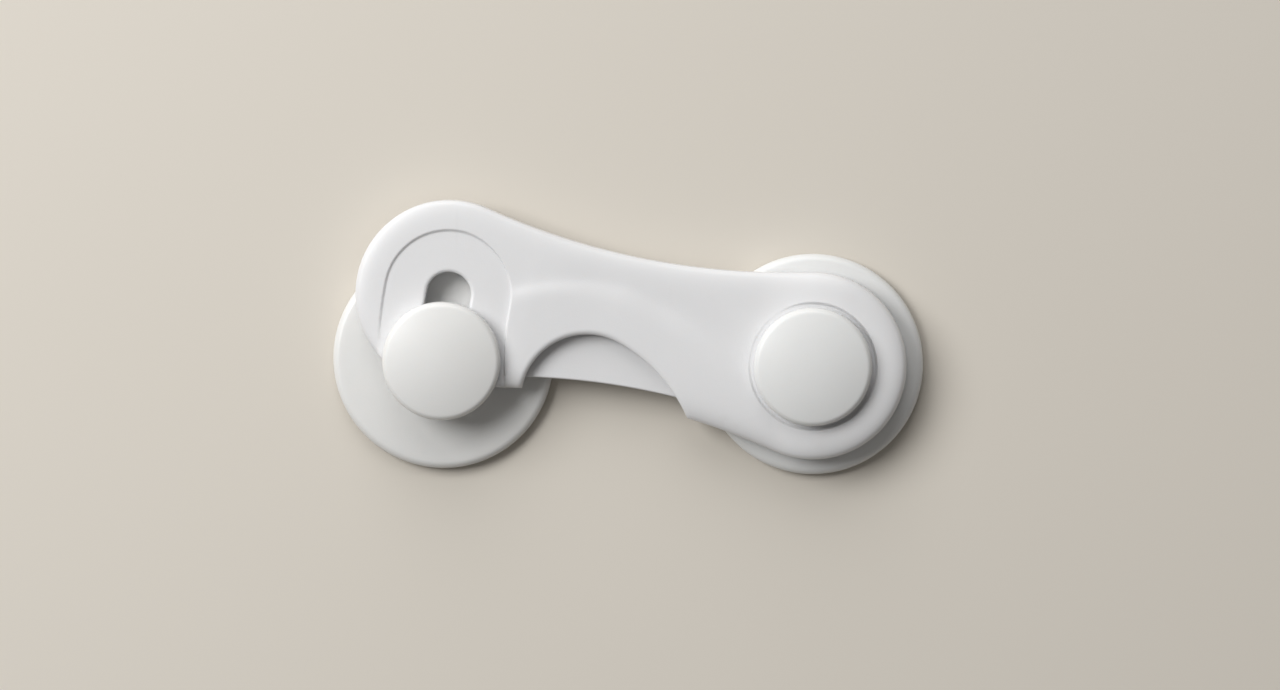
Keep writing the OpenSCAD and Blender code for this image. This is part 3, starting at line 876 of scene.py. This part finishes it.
def knob_profile():
    """Knob or cap: screw bore, stem, flat underside, round edge and low dome."""
    dome_r = (KNOB_R ** 2 + DOME_RISE ** 2) / (2 * DOME_RISE)
    dome_z = KNOB_TOP - dome_r
    edge = KNOB_R - KNOB_EDGE_R
    edge_z = dome_z + math.sqrt((dome_r - KNOB_EDGE_R) ** 2 - edge ** 2)
    tip = math.degrees(math.atan2(edge_z - dome_z, edge))
    p = [(0, STEM_BORE_TOP), (STEM_BORE_R, STEM_BORE_TOP), (STEM_BORE_R, STEM_END + 0.1),
         (STEM_BORE_R + 0.1, STEM_END), (STEM_R - 0.1, STEM_END), (STEM_R, STEM_END + 0.1),
         (STEM_R, STEM_MIDDLE), (STEM_R, KNOB_Z - 0.1), (STEM_R + 0.1, KNOB_Z), (KNOB_R / 2, KNOB_Z),
         (KNOB_R - 0.5, KNOB_Z)]
    p += bend(KNOB_R - 0.4, KNOB_Z + 0.4, 0.4, -80, 0, 6) + [(KNOB_R, KNOB_Z + 1.1), (KNOB_R, edge_z - 0.3)]
    p += bend(edge, edge_z, KNOB_EDGE_R, 0, tip, 14)
    count = 22
    for i in range(1, count + 1):
        r = edge * (1 + KNOB_EDGE_R / dome_r) * (1 - i / count)
        p.append((r, dome_z + math.sqrt(dome_r ** 2 - r ** 2)))
    return p


def make_base(name, centre, flat):
    verts, faces = revolve(base_profile(), 192, centre, post_shape if flat else None, closed=True)
    return recalc(build(name, verts, faces, place=None))


def make_knob(name, centre):
    verts, faces = revolve(knob_profile(), 192, centre)
    return recalc(build(name, verts, faces, place=None))


def make_pad(name, centre):
    bulge = ((0.3, 0.0), (0.12, 0.05), (0.02, 0.2), (0.0, PAD_T / 2))
    p = [(0, 0)] + [(PAD_R - inset, z) for inset, z in bulge]
    p += [(PAD_R - inset, PAD_T - z) for inset, z in bulge[-2::-1]] + [(0, PAD_T)]
    verts, faces = revolve(p, 160, centre)
    return recalc(build(name, verts, faces, place=None))


def thread_mesh(r, root, z0, z1, pitch, centre, count=28):
    """Threaded shank: radius follows a helix between root and crest."""
    rows = max(2, int((z1 - z0) / pitch * 8))
    verts, faces = [], []
    for k in range(rows + 1):
        z = z0 + (z1 - z0) * k / rows
        fade = min(1.0, (z1 - z) / (pitch * 1.2), (z - z0) / (pitch * 0.8))
        for i in range(count):
            a = 2 * math.pi * i / count
            phase = ((z - z0) / pitch - a / (2 * math.pi)) % 1.0
            crest = max(0.0, 1 - abs(phase - 0.5) / 0.32)
            tip = 1 - 0.5 * max(0.0, 1 - (z1 - z) / (1.6 * pitch))
            q = (root + (r - root) * crest * max(0.0, fade)) * tip
            verts.append((centre[0] + q * math.cos(a), centre[1] + q * math.sin(a), z))
    for k in range(rows):
        for i in range(count):
            j = (i + 1) % count
            faces.append([k * count + i, k * count + j, (k + 1) * count + j, (k + 1) * count + i])
    faces.append(list(range(count))[::-1])
    faces.append([rows * count + i for i in range(count)])
    return verts, faces


def screw_head(r, z, h, drive, depth, centre, count=48):
    """Round head seen from below, with a six-sided drive."""
    def drive_shape(a, mark, k):
        if mark != "drive":
            return k
        return k * math.cos(math.pi / 6) / math.cos((a % (math.pi / 3)) - math.pi / 6)
    p = [(0, z + depth), (drive, z + depth, "drive"), (drive, z + 0.12, "drive"), (drive + 0.1, z, "drive"),
         (r - 0.35, z), (r - 0.12, z + 0.08), (r, z + 0.28), (r, z + h), (0, z + h)]
    return revolve(p, count, centre, drive_shape)


def joined(parts):
    """One list of corners and faces from several."""
    verts, faces = [], []
    for v, f in parts:
        start = len(verts)
        verts += list(v)
        faces += [[i + start for i in one] for one in f]
    return verts, faces


def make_base_screw(name, centre):
    parts = [screw_head(r=3.1, z=1.0, h=1.6, drive=1.2, depth=0.9, centre=centre),
             thread_mesh(r=1.2, root=0.92, z0=2.5, z1=11.9, pitch=0.9, centre=centre)]
    verts, faces = joined(parts)
    return recalc(build(name, verts, faces, place=None))


def make_cover_screws():
    parts = []
    for spot in SCREW_SPOTS:
        parts += [screw_head(r=1.8, z=4.15, h=0.8, drive=0.75, depth=0.4, centre=spot, count=36),
                  thread_mesh(r=0.75, root=0.56, z0=4.9, z1=8.4, pitch=0.55, centre=spot, count=20)]
    verts, faces = joined(parts)
    return recalc(build("cover_screw_set", verts, faces))


def make_pin():
    low, high = PIN_ENDS
    neck = PIN_R - PIN_CHAMFER
    p = [(0, low), (neck, low), (PIN_R, low + PIN_CHAMFER), (PIN_R, (low + high) / 2),
         (PIN_R, high - PIN_CHAMFER), (neck, high), (0, high)]
    verts, faces = revolve(p, 40, PIN)
    return recalc(build("lever_pin_steel", verts, faces))


def spring_line(turns=7, steps=36):
    """Middle line of the wire, in the arm's seated position."""
    low, high = SPRING_ENDS
    middle = high - low - 2 * SPRING_END_PITCH
    pts = []
    total = turns * steps
    for i in range(total + 1):
        t = i / total
        a = 2 * math.pi * i / steps
        if t < 1 / turns:
            along = low + t * turns * SPRING_END_PITCH
        elif t > 1 - 1 / turns:
            along = high - (1 - t) * turns * SPRING_END_PITCH
        else:
            w = (t - 1 / turns) / (1 - 2 / turns)
            along = low + SPRING_END_PITCH + middle * w
        pts.append((*by_spring(SPRING_R * math.cos(a), along), SPRING_Z - SPRING_R * math.sin(a)))
    return pts


def make_spring():
    line = [Vector(p) for p in spring_line()]
    sides = 14
    verts, faces = [], []
    axis = Vector((math.sin(SPRING_LEAN), math.cos(SPRING_LEAN), 0))
    for i, p in enumerate(line):
        along = (line[min(i + 1, len(line) - 1)] - line[max(i - 1, 0)]).normalized()
        across = along.cross(axis).normalized()
        up = across.cross(along).normalized()
        for j in range(sides):
            a = 2 * math.pi * j / sides
            q = p + across * (WIRE_R * math.cos(a)) + up * (WIRE_R * math.sin(a))
            verts.append(tuple(q))
    for i in range(len(line) - 1):
        for j in range(sides):
            k = (j + 1) % sides
            faces.append([i * sides + j, i * sides + k, (i + 1) * sides + k, (i + 1) * sides + j])
    faces.append(list(range(sides)))
    faces.append([(len(line) - 1) * sides + j for j in range(sides)][::-1])
    return recalc(build("return_spring_wire", verts, faces))


# Materials: shared detail in node groups, one Principled surface each

def new_group(name, inputs, outputs):
    group = bpy.data.node_groups.new(name, "ShaderNodeTree")
    for label, kind, value in inputs:
        socket = group.interface.new_socket(label, in_out="INPUT", socket_type=kind)
        if value is not None:
            socket.default_value = value
    for label, kind in outputs:
        group.interface.new_socket(label, in_out="OUTPUT", socket_type=kind)
    return group, group.nodes.new("NodeGroupInput"), group.nodes.new("NodeGroupOutput")


def maths(tree, op, a, b=None, c=None, clamp=False):
    """One step of arithmetic in a material."""
    node = tree.nodes.new("ShaderNodeMath")
    node.operation = op
    node.use_clamp = clamp
    for i, value in enumerate((a, b, c)):
        if value is None:
            continue
        if isinstance(value, (int, float)):
            node.inputs[i].default_value = value
        else:
            tree.links.new(value, node.inputs[i])
    return node.outputs[0]


def noise(tree, coords, scale, detail=2.0, rough=0.5, stretch=None):
    if stretch:
        mapping = tree.nodes.new("ShaderNodeMapping")
        mapping.inputs["Scale"].default_value = stretch
        tree.links.new(coords, mapping.inputs["Vector"])
        coords = mapping.outputs["Vector"]
    node = tree.nodes.new("ShaderNodeTexNoise")
    node.inputs["Scale"].default_value = scale
    node.inputs["Detail"].default_value = detail
    node.inputs["Roughness"].default_value = rough
    tree.links.new(coords, node.inputs["Vector"])
    return node.outputs["Fac"]


def moulded_grain():
    """Fine satin grain, slow flow marks and light handling scuffs of moulded plastic."""
    group, given, out = new_group(
        "moulded_grain",
        [("Grain depth", "NodeSocketFloat", 0.5), ("Scuffs", "NodeSocketFloat", 0.5)],
        [("Flow", "NodeSocketFloat"), ("Grain", "NodeSocketFloat"), ("Scuff", "NodeSocketFloat"),
         ("Normal", "NodeSocketVector")])
    coords = group.nodes.new("ShaderNodeTexCoord").outputs["Object"]
    flow = noise(group, coords, scale=38, detail=3.0, rough=0.55)
    fine = noise(group, coords, scale=3600, rough=0.6)
    wide = noise(group, coords, scale=620)
    lines_a = noise(group, coords, scale=420, detail=1.0, rough=0.4, stretch=(1.0, 0.06, 1.0))
    lines_b = noise(group, coords, scale=380, detail=1.0, rough=0.4, stretch=(0.07, 1.0, 1.0))
    patch = noise(group, coords, scale=90)
    a = maths(group, "SUBTRACT", lines_a, 0.70)
    b = maths(group, "SUBTRACT", lines_b, 0.70)
    scuff = maths(group, "MAXIMUM", maths(group, "MULTIPLY", a, 9.0, clamp=True),
                  maths(group, "MULTIPLY", b, 9.0, clamp=True))
    where = maths(group, "MULTIPLY", maths(group, "SUBTRACT", patch, 0.5), 6.0, clamp=True)
    scuff = maths(group, "MULTIPLY", maths(group, "MULTIPLY", scuff, where), given.outputs["Scuffs"])
    height = maths(group, "ADD", maths(group, "MULTIPLY", fine, 0.55), maths(group, "MULTIPLY", wide, 0.45))
    height = maths(group, "SUBTRACT", height, maths(group, "MULTIPLY", scuff, 0.6))
    bump = group.nodes.new("ShaderNodeBump")
    bump.inputs["Distance"].default_value = 0.00006
    group.links.new(given.outputs["Grain depth"], bump.inputs["Strength"])
    group.links.new(height, bump.inputs["Height"])
    group.links.new(flow, out.inputs["Flow"])
    group.links.new(fine, out.inputs["Grain"])
    group.links.new(scuff, out.inputs["Scuff"])
    group.links.new(bump.outputs["Normal"], out.inputs["Normal"])
    return group


def drawn_steel():
    """Fine drawn lines and small stains of plated steel."""
    group, given, out = new_group(
        "drawn_steel",
        [("Line depth", "NodeSocketFloat", 0.35), ("Tarnish", "NodeSocketFloat", 2.2)],
        [("Lines", "NodeSocketFloat"), ("Stain", "NodeSocketFloat"), ("Normal", "NodeSocketVector")])
    coords = group.nodes.new("ShaderNodeTexCoord").outputs["Object"]
    lines = noise(group, coords, scale=2400, rough=0.6, stretch=(1.0, 1.0, 0.12))
    spots = noise(group, coords, scale=700, detail=3.0, rough=0.6)
    stain = maths(group, "MULTIPLY_ADD", spots, given.outputs["Tarnish"], -0.9, clamp=True)
    bump = group.nodes.new("ShaderNodeBump")
    bump.inputs["Distance"].default_value = 0.00001
    group.links.new(given.outputs["Line depth"], bump.inputs["Strength"])
    group.links.new(lines, bump.inputs["Height"])
    group.links.new(lines, out.inputs["Lines"])
    group.links.new(stain, out.inputs["Stain"])
    group.links.new(bump.outputs["Normal"], out.inputs["Normal"])
    return group


def blend_colours(tree, low, high, by):
    node = tree.nodes.new("ShaderNodeMix")
    node.data_type = "RGBA"
    tree.links.new(by, node.inputs["Factor"])
    for socket, value in ((node.inputs["A"], low), (node.inputs["B"], high)):
        if isinstance(value, tuple):
            socket.default_value = (*value, 1.0)
        else:
            tree.links.new(value, socket)
    return node.outputs["Result"]


def surface(name):
    material = bpy.data.materials.new(name)
    material.use_nodes = True
    tree = material.node_tree
    principled = tree.nodes["Principled BSDF"]
    return material, tree, principled


def place_group(tree, group, values):
    """Put a shared group in a material, with the material's own values."""
    node = tree.nodes.new("ShaderNodeGroup")
    node.node_tree = group
    for label, value in values.items():
        node.inputs[label].default_value = value
    return node


def plastic(name, pale, deep, rough, grain=0.5, scuffs=0.35):
    """Moulded plastic: two close tones, grain and light scuffs."""
    material, tree, shader = surface(name)
    detail = place_group(tree, MOULDED_GRAIN, {"Grain depth": grain, "Scuffs": scuffs})
    flow = maths(tree, "MULTIPLY_ADD", detail.outputs["Flow"], 2.4, -0.7, clamp=True)
    colour = blend_colours(tree, pale, deep, flow)
    dulled = tuple(0.90 * c for c in deep)
    colour = blend_colours(tree, colour, dulled, detail.outputs["Scuff"])
    tree.links.new(colour, shader.inputs["Base Color"])
    value = maths(tree, "MULTIPLY_ADD", detail.outputs["Grain"], 0.10, rough - 0.05)
    value = maths(tree, "MULTIPLY_ADD", detail.outputs["Scuff"], 0.12, value)
    tree.links.new(value, shader.inputs["Roughness"])
    tree.links.new(detail.outputs["Normal"], shader.inputs["Normal"])
    shader.inputs["IOR"].default_value = 1.5
    shader.inputs["Subsurface Weight"].default_value = 0.12
    shader.inputs["Subsurface Radius"].default_value = (1.0, 0.85, 0.75)
    shader.inputs["Subsurface Scale"].default_value = 0.0009
    return material


def brushed(name, colour, rough, depth=0.35, tarnish=2.2):
    """Plated steel: drawn lines, small stains and a tarnish tint."""
    material, tree, shader = surface(name)
    detail = place_group(tree, DRAWN_STEEL, {"Line depth": depth, "Tarnish": tarnish})
    stained = tuple(0.62 * c for c in colour)
    tree.links.new(blend_colours(tree, colour, stained, detail.outputs["Stain"]), shader.inputs["Base Color"])
    shader.inputs["Metallic"].default_value = 1.0
    roughness = maths(tree, "MULTIPLY_ADD", detail.outputs["Lines"], 0.22, rough - 0.11)
    tree.links.new(roughness, shader.inputs["Roughness"])
    tree.links.new(detail.outputs["Normal"], shader.inputs["Normal"])
    return material


def foam(name, colour):
    """Closed-cell foam tape: cells and a soft uneven tone."""
    material, tree, shader = surface(name)
    coords = tree.nodes.new("ShaderNodeTexCoord").outputs["Object"]
    cells = tree.nodes.new("ShaderNodeTexVoronoi")
    cells.inputs["Scale"].default_value = 2600
    tree.links.new(coords, cells.inputs["Vector"])
    tone = noise(tree, coords, scale=160, detail=3.0, rough=0.6)
    mixed = blend_colours(tree, colour, tuple(0.72 * c for c in colour),
                          maths(tree, "MULTIPLY", cells.outputs["Distance"], tone))
    tree.links.new(mixed, shader.inputs["Base Color"])
    shader.inputs["Roughness"].default_value = 0.85
    bump = tree.nodes.new("ShaderNodeBump")
    bump.inputs["Strength"].default_value = 0.6
    bump.inputs["Distance"].default_value = 0.00006
    tree.links.new(cells.outputs["Distance"], bump.inputs["Height"])
    tree.links.new(bump.outputs["Normal"], shader.inputs["Normal"])
    return material


MOULDED_GRAIN = moulded_grain()
DRAWN_STEEL = drawn_steel()
WHITE = plastic("arm_plastic", pale=(0.80, 0.80, 0.81), deep=(0.765, 0.765, 0.775), rough=0.40)
BASE_WHITE = plastic("base_plastic", pale=(0.805, 0.81, 0.805), deep=(0.77, 0.775, 0.77), rough=0.37)
WARM = plastic("strike_plastic", pale=(0.805, 0.805, 0.795), deep=(0.77, 0.768, 0.755), rough=0.36)
LEVER = plastic("lever_plastic_grey", pale=(0.765, 0.765, 0.775), deep=(0.73, 0.73, 0.74), rough=0.45,
                grain=0.8)
FOAM = foam("tape_foam", (0.62, 0.62, 0.60))
SCREW_STEEL = brushed("screw_zinc", colour=(0.60, 0.60, 0.59), rough=0.34)
WIRE_STEEL = brushed("spring_wire_steel", colour=(0.52, 0.53, 0.54), rough=0.28)
PIN_STEEL = brushed("pin_steel", colour=(0.66, 0.66, 0.66), rough=0.22)


def finish_piece(obj, body, nodes, material):
    """Give a piece its material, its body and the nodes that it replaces."""
    obj.data.materials.append(material)
    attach(obj, body)
    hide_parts(*nodes)
    return obj


def dress_door_side(side, cap, centre, flat, paint):
    """One adhesive base with its knob or cap, its foam pad and its screw."""
    finish_piece(make_base(side + "_base_disc", centre, flat), "door_side", [side + "_base"], paint)
    finish_piece(make_knob(cap + "_dome", centre), "door_side", [cap], paint)
    pad = make_pad(side + "_pad_foam", centre)
    finish_piece(pad, "door_side", [side + "_adhesive_pad"], FOAM)
    screw = make_base_screw(side + "_screw_steel", centre)
    finish_piece(screw, "door_side", [side + "_screw"], SCREW_STEEL)


finish_piece(make_front_cover(), "arm", ["arm_front_cover"], WHITE)
finish_piece(make_back_cover(), "arm", ["arm_back_cover"], WHITE)
finish_piece(make_lever(), "lever", ["release_lever"], LEVER)
dress_door_side("strike", "strike_knob", HEAD, True, WARM)
dress_door_side("pivot", "pivot_cap", (0.0, 0.0), False, BASE_WHITE)
finish_piece(make_pin(), "arm", ["lever_pin"], PIN_STEEL)
finish_piece(make_cover_screws(), "arm", ["cover_screws"], SCREW_STEEL)
spring = make_spring()
spring.data.materials.append(WIRE_STEEL)
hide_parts("return_spring")
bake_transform(spring)


# Floor, light and camera

MIDDLE = (-0.035, 0.0)
VIEW_TARGET = Vector((-0.03526, 0.00344, 0.0036))
VIEW_TURN = math.radians(1.0)
VIEW_RISE = math.radians(3.5)
VIEW_UP = Vector((-0.01517, 0.99988, 0.0))
VIEW_DISTANCE = 1.5
VIEW_LENS = 207
FLOOR_DROP = 0.00005


def make_floor():
    mesh = bpy.data.meshes.new("floor")
    bm = bmesh.new()
    bmesh.ops.create_grid(bm, x_segments=1, y_segments=1, size=2.0)
    bm.to_mesh(mesh)
    bm.free()
    floor = bpy.data.objects.new("floor", mesh)
    floor.location = (*MIDDLE, -FLOOR_DROP)
    bpy.context.scene.collection.objects.link(floor)
    material, tree, shader = surface("floor_paint")
    shader.inputs["Base Color"].default_value = (0.70, 0.655, 0.585, 1.0)
    shader.inputs["Roughness"].default_value = 0.75
    mesh.materials.append(material)


def lamp(name, towards, distance, size, energy, colour):
    """Round soft lamp, aimed at the middle of the lock."""
    data = bpy.data.lights.new(name, "AREA")
    data.shape = "DISK"
    data.size = size
    data.energy = energy
    data.color = colour
    obj = bpy.data.objects.new(name, data)
    bpy.context.scene.collection.objects.link(obj)
    direction = Vector(towards).normalized()
    obj.location = Vector((*MIDDLE, 0.0)) + direction * distance
    obj.rotation_euler = (-direction).to_track_quat("-Z", "Y").to_euler()
    return obj


def make_world():
    world = bpy.data.worlds.new("room_light")
    bpy.context.scene.world = world
    world.use_nodes = True
    back = world.node_tree.nodes["Background"]
    back.inputs["Color"].default_value = (1.0, 0.975, 0.94, 1.0)
    back.inputs["Strength"].default_value = 0.15


def make_camera():
    data = bpy.data.cameras.new("view")
    data.lens = VIEW_LENS
    data.sensor_width = 36
    data.clip_start = 0.01
    data.clip_end = 20
    obj = bpy.data.objects.new("view", data)
    bpy.context.scene.collection.objects.link(obj)
    toward = Vector((math.sin(VIEW_TURN), math.sin(VIEW_RISE), 1.0)).normalized()
    right = VIEW_UP.cross(toward).normalized()
    up = toward.cross(right).normalized()
    matrix = Matrix((right, up, toward)).transposed().to_4x4()
    matrix.translation = VIEW_TARGET + toward * VIEW_DISTANCE
    obj.matrix_world = matrix
    bpy.context.scene.camera = obj


make_floor()
make_world()
make_camera()
lamp("key_light", towards=(-0.92, 0.50, 1.0), distance=1.2, size=0.72, energy=11.0, colour=(1.0, 1.0, 0.995))
lamp("top_light", towards=(-0.15, 1.0, 0.64), distance=1.6, size=1.3, energy=12.1, colour=(1.0, 1.0, 1.0))
bpy.context.scene.view_settings.view_transform = "Standard"
